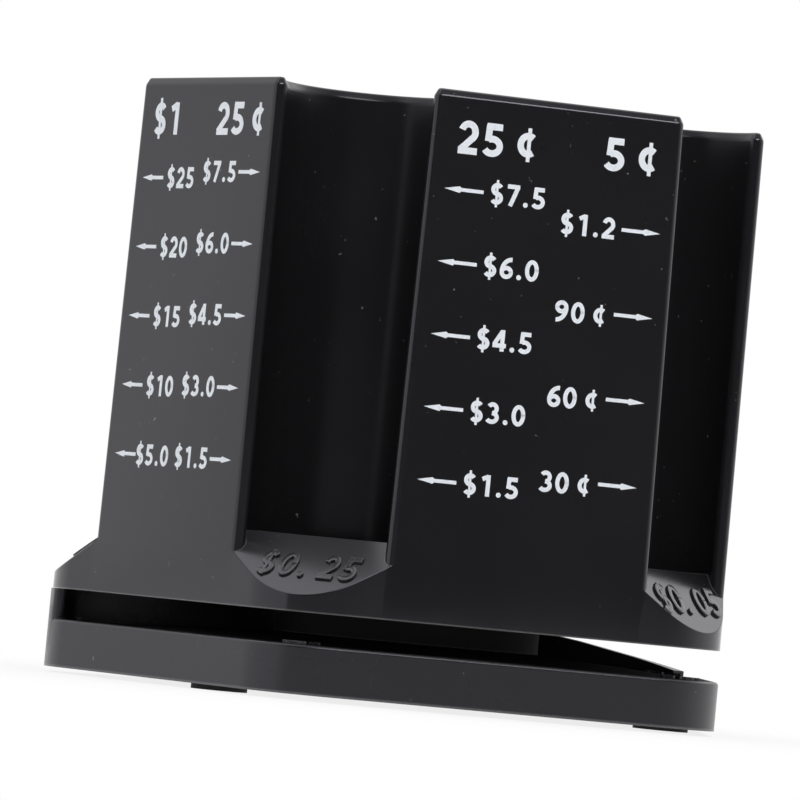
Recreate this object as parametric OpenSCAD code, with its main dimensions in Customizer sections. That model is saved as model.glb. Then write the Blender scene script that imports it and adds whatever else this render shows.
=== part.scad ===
// Coin tower: a five-sided stand that sorts coins into a channel at each corner.
// The tower turns on a five-sided base about the vertical axis through the origin.
// The origin lies on that axis, on the surface that the feet stand on.

/* [Coins] */
// Diameter of the one-dollar coin
dollar_d = 26.49; // [24:0.01:28]
// Diameter of the quarter
quarter_d = 24.26; // [22:0.01:26]
// Diameter of the nickel
nickel_d = 21.21; // [20:0.01:24]
// Diameter of the penny
penny_d = 19.05; // [18:0.01:22]
// Diameter of the dime
dime_d = 17.91; // [17:0.01:21]
// Play of a coin in its channel, on the diameter
coin_play = 0.74; // [0.4:0.02:1.2]

/* [Tower] */
// Distance from the axis to a side face of the tower
tower_apothem = 45.6; // [44:0.1:52]
// Height of the tower above its lower edge
tower_height = 76.2; // [50:0.1:110]
// Radius of the rounded corners, seen from above
corner_radius = 13.6; // [11:0.1:15]
// Thickness of the side walls and channel walls
tower_wall = 2.2; // [1.6:0.1:2.8]
// Thickness of the closed top
top_wall = 2.4; // [1.6:0.1:4]
// Radius of the rounded lips beside each channel
lip_radius = 1.1; // [0.8:0.05:1.3]
// How far the front of every channel lies behind the rounded corner
channel_inset = 1.1; // [0.8:0.05:1.6]
// Height of the coin seats above the tower's lower edge
seat_height = 10.95; // [9.5:0.05:14]
// Height at which the sloping ledges meet the side faces
ledge_meet = 7.95; // [7.5:0.05:9]
// Height of the ledges' lowest points
ledge_foot = 2.4; // [1.9:0.05:2.9]

/* [Tower floor] */
// Thickness of the plate that closes the tower from below
floor_thickness = 2.4; // [2:0.1:3]
// Height of the plate above the tower's lower edge
floor_lift = 0.4; // [0.3:0.05:0.8]
// Play between the plate and the tower walls, all round
floor_play = 0.3; // [0.2:0.05:0.6]
// How far the plate's corners stop short of the tower's rounded corners
floor_short = 6.15; // [5.65:0.05:9.15]
// Diameter of the raised centre of the plate
floor_boss_d = 22; // [18:0.5:28]
// Height of the raised centre of the plate
floor_boss_height = 2; // [1:0.1:4]
// Distance from the plate's screws to the tower's rounded corners
floor_screw_inset = 16.15; // [14.15:0.05:18.15]

/* [Base] */
// How far the base's side faces stand out beyond the tower's
base_overhang = 0.2; // [0:0.05:1]
// Height of the base's outer rim
base_height = 7.15; // [6.8:0.05:10]
// Thickness of the base's walls and top
base_wall = 2.2; // [1.6:0.1:2.6]
// Open height between the base's rim and the tower
tower_gap = 4.55; // [4:0.05:7]
// Width of the flat land between the rail and the low cone
cone_land = 0.6; // [0.3:0.1:3]
// Rise of the low cone, from its land to the drum
cone_rise = 1.35; // [0.8:0.05:2]
// Radius of the drum that carries the swivel
drum_radius = 19.75; // [19.25:0.05:24]
// Width of the steadying rail on one side of the base
rail_width = 2; // [1.2:0.1:3]
// Play between the rail and the tower above it
rail_play = 0.1; // [0.05:0.05:0.8]
// Slope of the rail where it runs out, in degrees
rail_slope = 10; // [8:0.5:14]
// Height of the rail's low end
rail_step = 0.8; // [0.4:0.05:1.5]
// How far the rail wraps round the corner at its other end, in degrees
rail_wrap = 5; // [2:0.5:16]
// Thickness of the plate that closes the base from below
cover_thickness = 1.6; // [1.4:0.1:2]
// Play between that plate and the base walls, all round
cover_play = 0.3; // [0.2:0.05:0.6]
// Distance from the cover's screws to the base's rounded corners
cover_screw_inset = 13.4; // [11.4:0.1:15.4]

/* [Feet] */
// Diameter of a rubber foot
foot_d = 8.2; // [6:0.1:10]
// Height of a foot below the base
foot_height = 0.8; // [0.5:0.05:2]
// Depth of the pocket that holds a foot
foot_pocket = 0.6; // [0.3:0.05:0.8]
// Width of the land between a foot and the edge of the cover
foot_land = 0.65; // [0.45:0.05:2.45]
// How far the feet are turned from the middles of the sides, towards the front and the back, in degrees
foot_turn = 12; // [8:0.5:14]

/* [Swivel] */
// Diameter of the shoulder that the tower turns on
shoulder_d = 8; // [7:0.1:9]
// Running play of the shoulder in its bush, on the radius
shoulder_play = 0.05; // [0.03:0.01:0.1]
// Wall of the bush
bush_wall = 1.5; // [1:0.1:2]
// Diameter of the bush's flange
bush_flange_d = 15; // [14:0.1:17]
// Thickness of the bush's flange
bush_flange_t = 1; // [0.8:0.05:1.2]
// Diameter of the bolt's threaded end
thread_d = 6; // [5:0.1:6.5]
// Width of the bolt's head across its flats
head_flats = 13; // [12:0.1:15]
// Height of the bolt's head
head_height = 2.2; // [1.8:0.1:2.4]
// Room between the bolt's head and the cover
head_room = 0.4; // [0.3:0.05:0.6]
// Width of the nut across its flats
nut_flats = 10; // [9:0.1:13]
// Height of the nut
nut_height = 4.5; // [3:0.1:7]
// Thickness of both washers
washer_t = 0.8; // [0.6:0.05:1]
// Diameter of the washer above the bolt's head
head_washer_d = 16; // [15:0.1:18]
// Diameter of the washer under the nut
nut_washer_d = 14; // [13.5:0.1:18]
// Play between parts that slide on each other, along the axis
thrust_play = 0.08; // [0.05:0.01:0.15]
// Inner diameter of the slip ring
ring_inner_d = 26; // [24:0.5:28]
// Outer diameter of the slip ring
ring_outer_d = 36; // [32:0.5:36]
// Thickness of the slip ring
ring_t = 0.8; // [0.6:0.05:1.2]
// How far the slip ring stands out of its groove
ring_stand = 0.2; // [0.1:0.05:0.3]

/* [Screws] */
// Diameter of a screw's shank
screw_d = 2.9; // [2.4:0.1:3.2]
// Diameter of a screw's countersunk head
screw_head_d = 5.4; // [4.8:0.1:6]
// Depth of the countersunk head
screw_head_t = 1.25; // [1:0.05:1.3]
// Diameter of the bosses that take the screws
boss_d = 7; // [6.2:0.1:8]
// Depth of the screws' driving recess
drive_depth = 0.8; // [0.5:0.05:1]
// Width of the screws' driving recess
drive_width = 0.8; // [0.5:0.05:1.2]
// Length of a screw in its boss
screw_grip = 2.8; // [2.4:0.1:4]

/* [Hidden] */
$fn = 96;
sides = 5;
half_side = 180 / sides;
first_corner = half_side - 90;
coins = [nickel_d, penny_d, dime_d, dollar_d, quarter_d];
feet = 4;
// A hair of room that keeps mating round faces from crossing
hair = 0.02;
// Length by which cuts run past the faces that they open
past = 1;

// Heights of the main levels above the surface
base_bottom = foot_height;
base_top = base_bottom + base_height;
tower_bottom = base_top + tower_gap;
floor_bottom = tower_bottom + floor_lift;
floor_top = floor_bottom + floor_thickness;
cover_top = base_bottom + cover_thickness;

// Sizes that follow from the outlines
tower_apex = tower_apothem / cos(half_side);
tower_inner = tower_apothem - tower_wall;
floor_reach = corner_reach(tower_apothem) - floor_short;
floor_screw_reach = corner_reach(tower_apothem) - floor_screw_inset;
base_apothem = tower_apothem + base_overhang;
base_inner = base_apothem - base_wall;
cover_screw_reach = corner_reach(base_apothem) - cover_screw_inset;
foot_reach = (base_inner - cover_play) / cos(foot_turn) - foot_land - foot_d / 2;
boss_bottom = floor_top - tower_bottom;
seat_bottom = seat_height - tower_wall;

// Levels of the swivel: the bolt's head and bush from below, the slip ring from above
head_top = cover_top + head_room + head_height;
base_seat = head_top + washer_t + thrust_play + bush_flange_t;
ring_bottom = floor_bottom - thrust_play - ring_t;
drum_top = ring_bottom + ring_t - ring_stand;
bush_bore_d = shoulder_d + 2 * shoulder_play;
bush_d = bush_bore_d + 2 * bush_wall;
nut_seat = floor_top + floor_boss_height;

// Distance from the axis to a rounded corner of a five-sided outline
function corner_reach(apothem) = (apothem - corner_radius) / cos(half_side) + corner_radius;

// Direction of corner i, and of the side that follows it
function corner_angle(i) = first_corner + i * 2 * half_side;
function side_angle(i) = corner_angle(i) + half_side;

// Direction of foot i, counted from 0
function foot_angle(i) = side_angle(i) + foot_turn * (i % 2 == 0 ? -1 : 1);

// Radius of channel i, and the distance from the axis to its centre
function bore_r(i) = (coins[i] + coin_play) / 2;
function bore_x(i) = corner_reach(tower_apothem) - channel_inset - bore_r(i);

// Centre of the rounded lip beside channel i, in the corner's own frame:
// it touches the side face and the channel, less a hair on each
function lip_depth() = lip_radius + hair;
function lip_run(i) =
    let (to_face = (tower_apex - bore_x(i)) * cos(half_side) - lip_depth())
    sqrt(pow(bore_r(i) + lip_depth(), 2) - pow(to_face, 2));
function lip_along(i) = (tower_apex - bore_x(i)) * sin(half_side) + lip_run(i);
function lip_centre(i) = [
    tower_apex - lip_along(i) * sin(half_side) - lip_depth() * cos(half_side),
    lip_along(i) * cos(half_side) - lip_depth() * sin(half_side)
];

// Slope of the ledge below seat i, from where it meets the side faces down to the rounded corner
function ledge_start(i) = tower_apex - lip_along(i) * sin(half_side);
function ledge_angle(i) = atan((ledge_meet - ledge_foot) / (corner_reach(tower_apothem) - ledge_start(i)));

// Distance from the axis to the straight front edge of seat i
function seat_front(i) = ledge_start(i) - (seat_height - ledge_meet) / tan(ledge_angle(i));

// Tangent points of a rounded five-sided outline, two for each corner
function tangent_points(apothem) = [
    for (i = [0 : sides - 1], turn = [-half_side, half_side])
        let (a = corner_angle(i), reach = corner_reach(apothem) - corner_radius)
        reach * [cos(a), sin(a)] + corner_radius * [cos(a + turn), sin(a + turn)]
];

// Five-sided prism with rounded corners
module rounded_prism(apothem, height) {
    linear_extrude(height)
        union() {
            polygon(tangent_points(apothem));
            for (i = [0 : sides - 1])
                rotate(corner_angle(i))
                    translate([corner_reach(apothem) - corner_radius, 0])
                        circle(r = corner_radius);
        }
}

// Five-sided prism with its corners cut off by a round reach
module cut_prism(apothem, reach, height) {
    intersection() {
        rotate(first_corner)
            cylinder(r = apothem / cos(half_side), h = height, $fn = sides);
        cylinder(r = reach, h = height);
    }
}

// Outline in the plane through the axis and a corner, swept across the corner
module across(width, points) {
    rotate([90, 0, 0])
        linear_extrude(2 * width, center = true)
            polygon(points);
}

// Open space of coin channel i, in the corner's own frame
module channel(i) {
    lip = lip_centre(i);
    out = tower_apex + past;
    toe = seat_height - (out + past - seat_front(i)) * tan(ledge_angle(i));
    side = [cos(half_side), sin(half_side)] * (lip_depth() + tower_wall);
    difference() {
        union() {
            translate([bore_x(i), 0, 0])
                cylinder(r = bore_r(i), h = tower_height + past);
            linear_extrude(tower_height + past)
                polygon([
                    [bore_x(i), 0], lip, lip + side, [out, out - tower_apex + tower_wall],
                    [out, tower_apex - out - tower_wall], [lip.x + side.x, -lip.y - side.y], [lip.x, -lip.y]
                ]);
        }
        for (hand = [-1, 1])
            translate([lip.x, hand * lip.y, -past])
                cylinder(r = lip_radius, h = tower_height + 3 * past);
        across(tower_apex, [
            [0, -tower_apex], [0, seat_height], [seat_front(i), seat_height], [out + past, toe],
            [out + past, -tower_apex]
        ]);
    }
}

// Walls round channel i that stay when the tower is hollowed
module channel_walls(i) {
    turn = seat_front(i) - tower_wall * tan(ledge_angle(i) / 2);
    translate([bore_x(i), 0, seat_bottom])
        cylinder(r = bore_r(i) + tower_wall, h = tower_height);
    across(bore_r(i) + tower_wall, [
        [bore_x(i), seat_bottom], [turn, seat_bottom],
        [tower_apex, seat_bottom - (tower_apex - turn) * tan(ledge_angle(i))],
        [tower_apex, seat_height], [bore_x(i), seat_height]
    ]);
    translate([floor_screw_reach, 0, boss_bottom])
        cylinder(d = boss_d, h = seat_height - boss_bottom);
}

// One-piece tower with five coin channels, hollow and open below
module coin_tower() {
    color("#1d1d1f")
        translate([0, 0, tower_bottom])
            difference() {
                rounded_prism(tower_apothem, tower_height);
                difference() {
                    translate([0, 0, -past])
                        cut_prism(tower_inner, corner_reach(tower_apothem) - tower_wall,
                                  tower_height - top_wall + past);
                    for (i = [0 : sides - 1])
                        rotate(corner_angle(i))
                            channel_walls(i);
                }
                for (i = [0 : sides - 1])
                    rotate(corner_angle(i)) {
                        channel(i);
                        translate([floor_screw_reach, 0, boss_bottom - past])
                            cylinder(d = screw_d + 2 * hair, h = screw_grip + 2 * past);
                    }
            }
}

// Countersunk hole for a screw, with its head at z = 0 and its shank upward
module screw_hole(depth) {
    translate([0, 0, -hair])
        cylinder(d1 = screw_head_d + 2 * hair, d2 = screw_d + 2 * hair, h = screw_head_t + hair);
    cylinder(d = screw_d + 2 * hair, h = depth);
}

// Countersunk screw with a cross recess, head at z = 0 and shank upward
module screw(length) {
    difference() {
        union() {
            cylinder(d1 = screw_head_d, d2 = screw_d, h = screw_head_t);
            cylinder(d = screw_d, h = length);
        }
        for (turn = [0, 90])
            rotate(turn)
                translate([-screw_d / 2, -drive_width / 2, -past])
                    cube([screw_d, drive_width, drive_depth + past]);
    }
}

// Plate that closes the tower from below and carries the swivel
module tower_floor() {
    color("#232326")
        difference() {
            union() {
                translate([0, 0, floor_bottom])
                    cut_prism(tower_inner - floor_play, floor_reach, floor_thickness);
                translate([0, 0, floor_top])
                    cylinder(d = floor_boss_d, h = floor_boss_height);
            }
            translate([0, 0, floor_bottom - past])
                cylinder(d = thread_d + 2 * hair, h = floor_thickness + floor_boss_height + 2 * past);
            for (i = [0 : sides - 1])
                rotate(corner_angle(i))
                    translate([floor_screw_reach, 0, floor_bottom])
                        screw_hole(floor_thickness + past);
        }
}

// Five screws that hold the floor plate in the tower
module floor_screws() {
    color("silver")
        for (i = [0 : sides - 1])
            rotate(corner_angle(i))
                translate([floor_screw_reach, 0, floor_bottom])
                    screw(floor_thickness + screw_grip);
}

// Shoulder bolt that the tower turns on, fixed in the floor plate
module pivot_bolt() {
    color("silver")
        union() {
            translate([0, 0, head_top - head_height])
                cylinder(d = head_flats / cos(30), h = head_height, $fn = 6);
            translate([0, 0, head_top])
                cylinder(d = shoulder_d, h = floor_bottom - head_top);
            translate([0, 0, floor_bottom])
                cylinder(d = thread_d, h = nut_seat + washer_t + nut_height + thread_d / 4 - floor_bottom);
        }
}

// Flat ring lying at a given height
module flat_ring(outer_d, inner_d, z, thickness) {
    translate([0, 0, z])
        difference() {
            cylinder(d = outer_d, h = thickness);
            translate([0, 0, -past])
                cylinder(d = inner_d, h = thickness + 2 * past);
        }
}

// Washer between the bolt's head and the bush
module head_washer() {
    color("lightgray")
        flat_ring(head_washer_d, shoulder_d + 2 * hair, head_top, washer_t);
}

// Washer between the floor plate and the nut
module nut_washer() {
    color("lightgray")
        flat_ring(nut_washer_d, thread_d + 2 * hair, nut_seat, washer_t);
}

// Nut that clamps the floor plate on the bolt's shoulder
module lock_nut() {
    color("silver")
        translate([0, 0, nut_seat + washer_t])
            difference() {
                cylinder(d = nut_flats / cos(30), h = nut_height, $fn = 6);
                translate([0, 0, -past])
                    cylinder(d = thread_d + 2 * hair, h = nut_height + 2 * past);
            }
}

// Steadying rail under the tower's edge at the back, sloping down to its end on one side
module rail() {
    height = tower_gap - rail_play;
    end = corner_reach(base_apothem) * sin(half_side);
    start = (height - rail_step) / tan(rail_slope) - end;
    reach = 2 * base_apothem;
    first = corner_angle(1);
    last = corner_angle(3) + rail_wrap;
    translate([0, 0, base_top])
        difference() {
            rounded_prism(base_apothem, height);
            translate([0, 0, -past])
                cut_prism(base_apothem - rail_width, corner_reach(base_apothem) - rail_width,
                          height + 2 * past);
            linear_extrude(height + past)
                polygon([
                    [0, 0], reach * [cos(last), sin(last)], [-reach, -reach], [reach, -reach],
                    reach * [cos(first), sin(first)]
                ]);
            rotate(side_angle(1) + 90)
                across(reach, [
                    [-end, rail_step], [start, height], [start, 2 * height], [-reach, 2 * height],
                    [-reach, rail_step]
                ]);
        }
}

// Hollow of the base, open below, with its centre and screw bosses left standing
module base_hollow() {
    ceiling = base_top - base_wall;
    difference() {
        union() {
            translate([0, 0, base_bottom - past])
                cut_prism(base_inner, corner_reach(base_apothem) - base_wall, ceiling - base_bottom + past);
            translate([0, 0, base_bottom])
                cylinder(r = drum_radius - base_wall, h = ring_bottom - base_wall - base_bottom);
        }
        translate([0, 0, base_seat])
            cylinder(d = bush_flange_d, h = tower_gap + base_wall);
        for (i = [0 : sides - 1])
            rotate(corner_angle(i))
                translate([cover_screw_reach, 0, cover_top])
                    cylinder(d = boss_d, h = base_height);
    }
}

// Base with a low cone, a drum that carries the swivel, and the rail
module base_shell() {
    color("#1d1d1f")
        difference() {
            union() {
                translate([0, 0, base_bottom])
                    rounded_prism(base_apothem, base_height);
                translate([0, 0, base_top])
                    cylinder(r1 = base_apothem - rail_width - cone_land, r2 = drum_radius, h = cone_rise);
                translate([0, 0, base_top])
                    cylinder(r = drum_radius, h = drum_top - base_top);
                rail();
            }
            base_hollow();
            translate([0, 0, base_bottom])
                cylinder(d = bush_d + 2 * hair, h = tower_bottom);
            flat_ring(ring_outer_d + 2 * hair, ring_inner_d - 2 * hair, ring_bottom, ring_t + past);
            for (i = [0 : sides - 1])
                rotate(corner_angle(i))
                    translate([cover_screw_reach, 0, cover_top - past])
                        cylinder(d = screw_d + 2 * hair, h = screw_grip + 2 * past);
        }
}

// Plate that closes the base from below and holds the feet
module base_cover() {
    color("#232326")
        difference() {
            translate([0, 0, base_bottom])
                cut_prism(base_inner - cover_play, corner_reach(base_apothem) - base_wall - cover_play,
                          cover_thickness);
            for (i = [0 : sides - 1])
                rotate(corner_angle(i))
                    translate([cover_screw_reach, 0, base_bottom])
                        screw_hole(cover_thickness + past);
            for (i = [0 : feet - 1])
                rotate(foot_angle(i))
                    translate([foot_reach, 0, base_bottom - past])
                        cylinder(d = foot_d + 2 * hair, h = foot_pocket + past);
        }
}

// Five screws that hold the cover in the base
module cover_screws() {
    color("silver")
        for (i = [0 : sides - 1])
            rotate(corner_angle(i))
                translate([cover_screw_reach, 0, base_bottom])
                    screw(cover_thickness + screw_grip);
}

// Flanged bush that the bolt's shoulder turns in
module pivot_bush() {
    color("peru")
        difference() {
            union() {
                translate([0, 0, base_seat - bush_flange_t])
                    cylinder(d = bush_flange_d, h = bush_flange_t);
                translate([0, 0, base_seat])
                    cylinder(d = bush_d, h = drum_top - base_seat);
            }
            translate([0, 0, base_bottom])
                cylinder(d = bush_bore_d, h = tower_bottom);
        }
}

// Slip ring in the top of the drum, which the floor plate slides on
module slip_ring() {
    color("whitesmoke")
        flat_ring(ring_outer_d, ring_inner_d, ring_bottom, ring_t);
}

// Rubber foot number i, in its pocket in the cover
module foot(i) {
    color("#2b2b2b")
        rotate(foot_angle(i - 1))
            translate([foot_reach, 0, 0])
                cylinder(d = foot_d, h = foot_height + foot_pocket);
}

coin_tower();
tower_floor();
floor_screws();
pivot_bolt();
head_washer();
nut_washer();
lock_nut();
base_shell();
base_cover();
cover_screws();
pivot_bush();
slip_ring();
for (i = [1 : feet])
    foot(i);
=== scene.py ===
# %% [markdown]
# # A coin sorting tower in black satin plastic
# The object is a five-sided column that turns on a thin five-sided base. Each rounded corner of the
# column holds one channel for one coin, and white printed scales on the ridges say what a stack is
# worth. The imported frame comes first. It brings the CAD parts into Blender in metres, so the pieces
# made below stand where the parts stand. Only the camera, the light, the finishes and the places of the
# printed figures are matched to a picture.

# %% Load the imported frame
import math

import bmesh
import bpy
from mathutils import Matrix, Vector


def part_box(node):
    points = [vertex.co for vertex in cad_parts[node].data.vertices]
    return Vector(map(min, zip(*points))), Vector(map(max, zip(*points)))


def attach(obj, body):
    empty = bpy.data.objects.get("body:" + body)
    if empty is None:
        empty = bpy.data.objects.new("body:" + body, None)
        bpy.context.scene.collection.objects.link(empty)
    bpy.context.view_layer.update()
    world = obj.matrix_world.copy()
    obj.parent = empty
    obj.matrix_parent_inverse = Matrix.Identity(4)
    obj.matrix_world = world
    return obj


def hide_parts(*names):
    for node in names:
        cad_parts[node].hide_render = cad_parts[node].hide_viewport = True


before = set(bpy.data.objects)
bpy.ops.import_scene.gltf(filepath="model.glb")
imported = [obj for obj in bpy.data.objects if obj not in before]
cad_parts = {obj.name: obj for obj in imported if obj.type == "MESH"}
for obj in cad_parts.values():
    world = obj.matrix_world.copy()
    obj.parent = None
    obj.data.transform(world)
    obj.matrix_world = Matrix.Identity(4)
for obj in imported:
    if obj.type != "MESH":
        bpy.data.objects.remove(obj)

mm = 0.001


def in_mm(length, digits=2):
    return round(length / mm, digits)


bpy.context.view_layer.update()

# %% [markdown]
# ## The five-sided plan
# Tower and base share one plan: a regular pentagon with rounded corners. The outer levels and the
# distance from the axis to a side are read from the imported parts, so a change there carries over. The
# roundings, the coins and the levels in between are written down again. The corners are counted
# anticlockwise from the one right of the front.

# %% Levels, corners and coins
tower_low, tower_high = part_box("coin_tower")
base_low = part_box("base_shell")[0]
tower_bottom, tower_top = tower_low.z, tower_high.z
base_bottom = base_low.z
tower_apothem, base_apothem = -tower_low.y, -base_low.y
corners = 5
half_side = math.radians(36)
corner_radius = 13.6 * mm
first_corner = math.radians(-54)
coin_width = {
    "nickel": 21.21 * mm,
    "penny": 19.05 * mm,
    "dime": 17.91 * mm,
    "dollar": 26.49 * mm,
    "quarter": 24.26 * mm,
}
corner_coin = list(coin_width)
print("tower from", in_mm(tower_bottom), "to", in_mm(tower_top), "mm, side at", in_mm(tower_apothem))


def corner_turn(i):
    return first_corner + i * 2 * half_side


def apex_of(apothem):
    return apothem / math.cos(half_side)


def reach_of(apothem):
    return (apothem - corner_radius) / math.cos(half_side) + corner_radius


# %% [markdown]
# ## A coin channel in plan
# A channel is a round bore that breaks through the corner, so that a thumb can slide the coins out.
# Where the bore meets the flat ridge, the moulding has a small rounded lip that touches both. One
# corner of the plan is therefore three arcs: lip, bore, lip. The inset lets the same function draw the
# plan a little inside itself, which is what a bevelled top edge needs, and the widening opens a bore a
# little towards its top, so that the moulding can leave its tool. That is why the ridges look narrower
# at the top.

# %% Lip, bore, lip
coin_play = 0.74 * mm
channel_inset = 1.1 * mm
lip_radius = 1.12 * mm
lip_steps = 10
bore_steps = 56


def arc(cx, cy, radius, start, end, steps):
    turns = [start + (end - start) * s / steps for s in range(steps + 1)]
    return [(cx + radius * math.cos(t), cy + radius * math.sin(t)) for t in turns]


def channel_of(coin, widen=0.0):
    bore = (coin_width[coin] + coin_play) / 2 + widen
    middle = reach_of(tower_apothem) - channel_inset - bore + widen
    beyond = apex_of(tower_apothem) - middle
    to_lip = beyond * math.cos(half_side) - lip_radius
    along = beyond * math.sin(half_side) + math.sqrt((bore + lip_radius) ** 2 - to_lip ** 2)
    edge = (apex_of(tower_apothem) - along * math.sin(half_side), along * math.cos(half_side))
    lip = (edge[0] - lip_radius * math.cos(half_side), edge[1] - lip_radius * math.sin(half_side))
    return {"bore": bore, "middle": middle, "along": along, "edge": edge, "lip": lip}


def channel_outline(coin, inset, widen=0.0):
    c = channel_of(coin, widen)
    lean = math.atan2(c["lip"][1], c["lip"][0] - c["middle"])
    near = arc(c["lip"][0], -c["lip"][1], lip_radius - inset, -half_side, math.pi - lean, lip_steps)
    back = arc(c["middle"], 0, c["bore"] + inset, -lean, lean - 2 * math.pi, bore_steps)
    far = [(x, -y) for x, y in reversed(near)]
    return near + back[1:-1] + far


for coin in corner_coin:
    channel = channel_of(coin)
    print(coin, "bore", in_mm(channel["bore"]), "mm, lip", in_mm(channel["along"]), "mm from the point")

# %% [markdown]
# ## Skinning rings of points
# Both mouldings are made the way a plastic part is drawn: the same outline again and again, each ring a
# little higher or a little further in, with faces between the rings. Booleans could cut the channels
# out of a block, but rings give clean strips of faces along every rounded edge, and those edges carry
# all the highlights.

# %% Ring helpers
draft = math.tan(math.radians(0.26))
crease_turn = math.radians(38)
same_point = 0.0005 * mm
no_length = 0.0002 * mm


def drafted(x, y, z):
    shrink = 1 - draft * (z - tower_bottom) / tower_apothem
    return Vector((x * shrink, y * shrink, z))


def turned(x, y, i):
    c, s = math.cos(corner_turn(i)), math.sin(corner_turn(i))
    return x * c - y * s, x * s + y * c


def add_ring(bm, points):
    return [bm.verts.new(p) for p in points]


def skin(bm, low, high):
    pairs = [(a, (a + 1) % len(low)) for a in range(len(low))]
    return [bm.faces.new((low[a], low[b], high[b], high[a])) for a, b in pairs]


def quarter_round(radius, steps):
    turns = [math.pi / 2 * s / steps for s in range(steps + 1)]
    return [(radius * (1 - math.cos(t)), radius * math.sin(t)) for t in turns]


def moulding(name, bm, body):
    bmesh.ops.remove_doubles(bm, verts=bm.verts, dist=same_point)
    bmesh.ops.dissolve_degenerate(bm, edges=bm.edges, dist=no_length)
    bmesh.ops.recalc_face_normals(bm, faces=bm.faces)
    mesh = bpy.data.meshes.new(name)
    bm.to_mesh(mesh)
    bm.free()
    mesh.shade_smooth()
    mesh.set_sharp_from_angle(angle=crease_turn)
    piece = bpy.data.objects.new(name, mesh)
    bpy.context.scene.collection.objects.link(piece)
    weighted = piece.modifiers.new("even shading", "WEIGHTED_NORMAL")
    weighted.keep_sharp = True
    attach(piece, body)
    print(name, "has", len(mesh.polygons), "faces")
    return piece


print("taper of a side over the tower's height:", in_mm(draft * (tower_top - tower_bottom)), "mm")

# %% [markdown]
# ## The channelled column
# The column is the plan drawn straight up with a slight taper outside and slightly widening bores
# inside. Its top edge is a small steep bevel with both creases softened, which runs round every ridge
# and into every bore. A plain rounding would be simpler, but the bevel gives the dark band with a
# bright line under it that the real edge shows. The column goes a little way down inside the skirt,
# except at the ridge corners, which the two share. The bores get a second, duller finish, because their
# reflections are softer than those of the ridges.

# %% Column
# Each ring of the bevel as inset and drop, in millimetres
top_bevel = [(0, -1.35), (0.012, -1.2), (0.045, -1.06), (0.1, -0.92), (0.17, -0.78), (0.25, -0.63)]
top_bevel += [(0.42, -0.31), (0.48, -0.2), (0.57, -0.1), (0.68, -0.02), (0.79, 0)]
bore_widening = 0.3 * mm
ledge_meet = 7.95 * mm
column_sink = 1.4 * mm
shell = bmesh.new()


def column_ring(inset, z):
    points = []
    for i, coin in enumerate(corner_coin):
        points += [drafted(*turned(x, y, i), z) for x, y in channel_outline(coin, inset, bore_widening)]
    return points


def column_foot(z, sink):
    points = []
    for i, coin in enumerate(corner_coin):
        outline = channel_outline(coin, 0)
        for s, (x, y) in enumerate(outline):
            level = z if s in (0, len(outline) - 1) else z - sink
            points.append(drafted(*turned(x, y, i), level))
    return points


rings = [add_ring(shell, column_foot(tower_bottom + ledge_meet, column_sink))]
for inset, drop in top_bevel:
    rings.append(add_ring(shell, column_ring(inset * mm, tower_top + drop * mm)))
points_each = len(rings[0]) // corners
for low, high in zip(rings, rings[1:]):
    for a, face in enumerate(skin(shell, low, high)):
        face.material_index = 1 if lip_steps <= a % points_each < points_each - lip_steps - 1 else 0
shell.faces.new(rings[-1])
print("column:", len(rings), "rings of", len(rings[0]), "points")

# %% [markdown]
# ## The skirt with its seats and ledges
# Below the channels the column widens to the full rounded pentagon. At each corner a flat seat carries
# the lowest coin, and a sloping ledge in front of it lets a thumb under the stack. All five ledges
# leave the ridges at one height and end at one height, so each coin's ledge has its own slope. The
# skirt's upper edge is where the slope cuts the round corner. Its height is worked out point by point,
# and so is its rounding, which dies away at both ends.

# %% Skirt
skirt_wall = 2.2 * mm
skirt_return = 3.2 * mm
foot_round = 0.15 * mm
ledge_round = 0.4 * mm
ledge_tangent = 0.6 * mm
round_steps = 5
corner_steps = 28
flat_parts = 4
level_fall = 1e-6
seat_behind = 0.6 * mm
seat_height = 10.95 * mm
ledge_foot = 2.4 * mm


def ledge_slope(coin):
    return (ledge_meet - ledge_foot) / (reach_of(tower_apothem) - channel_of(coin)["edge"][0])


def corner_outline(apothem, inset, steps):
    reach = reach_of(apothem) - corner_radius
    return arc(reach, 0, corner_radius - inset, -half_side, half_side, steps)


def skirt_column(x, y, nx, ny, top, fall, i):
    column = [(skirt_wall, skirt_return), (skirt_wall, 0.0)]
    foot = quarter_round(foot_round, round_steps)
    column += [(foot_round - rise, foot_round - inset) for inset, rise in foot]
    bend = math.atan2(1, fall) if fall > level_fall else math.pi / 2
    tangent = min(ledge_round * math.tan(bend / 2), ledge_tangent) if fall > level_fall else 0.0
    radius = tangent / math.tan(bend / 2) if tangent else 0.0
    for s in range(round_steps + 1):
        t = bend * s / round_steps
        column.append((radius * (1 - math.cos(t)), top - tangent + radius * math.sin(t)))
    spots = [(turned(x - inset * nx, y - inset * ny, i), rise) for inset, rise in column]
    return [drafted(*spot, tower_bottom + rise) for spot, rise in spots]


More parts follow.
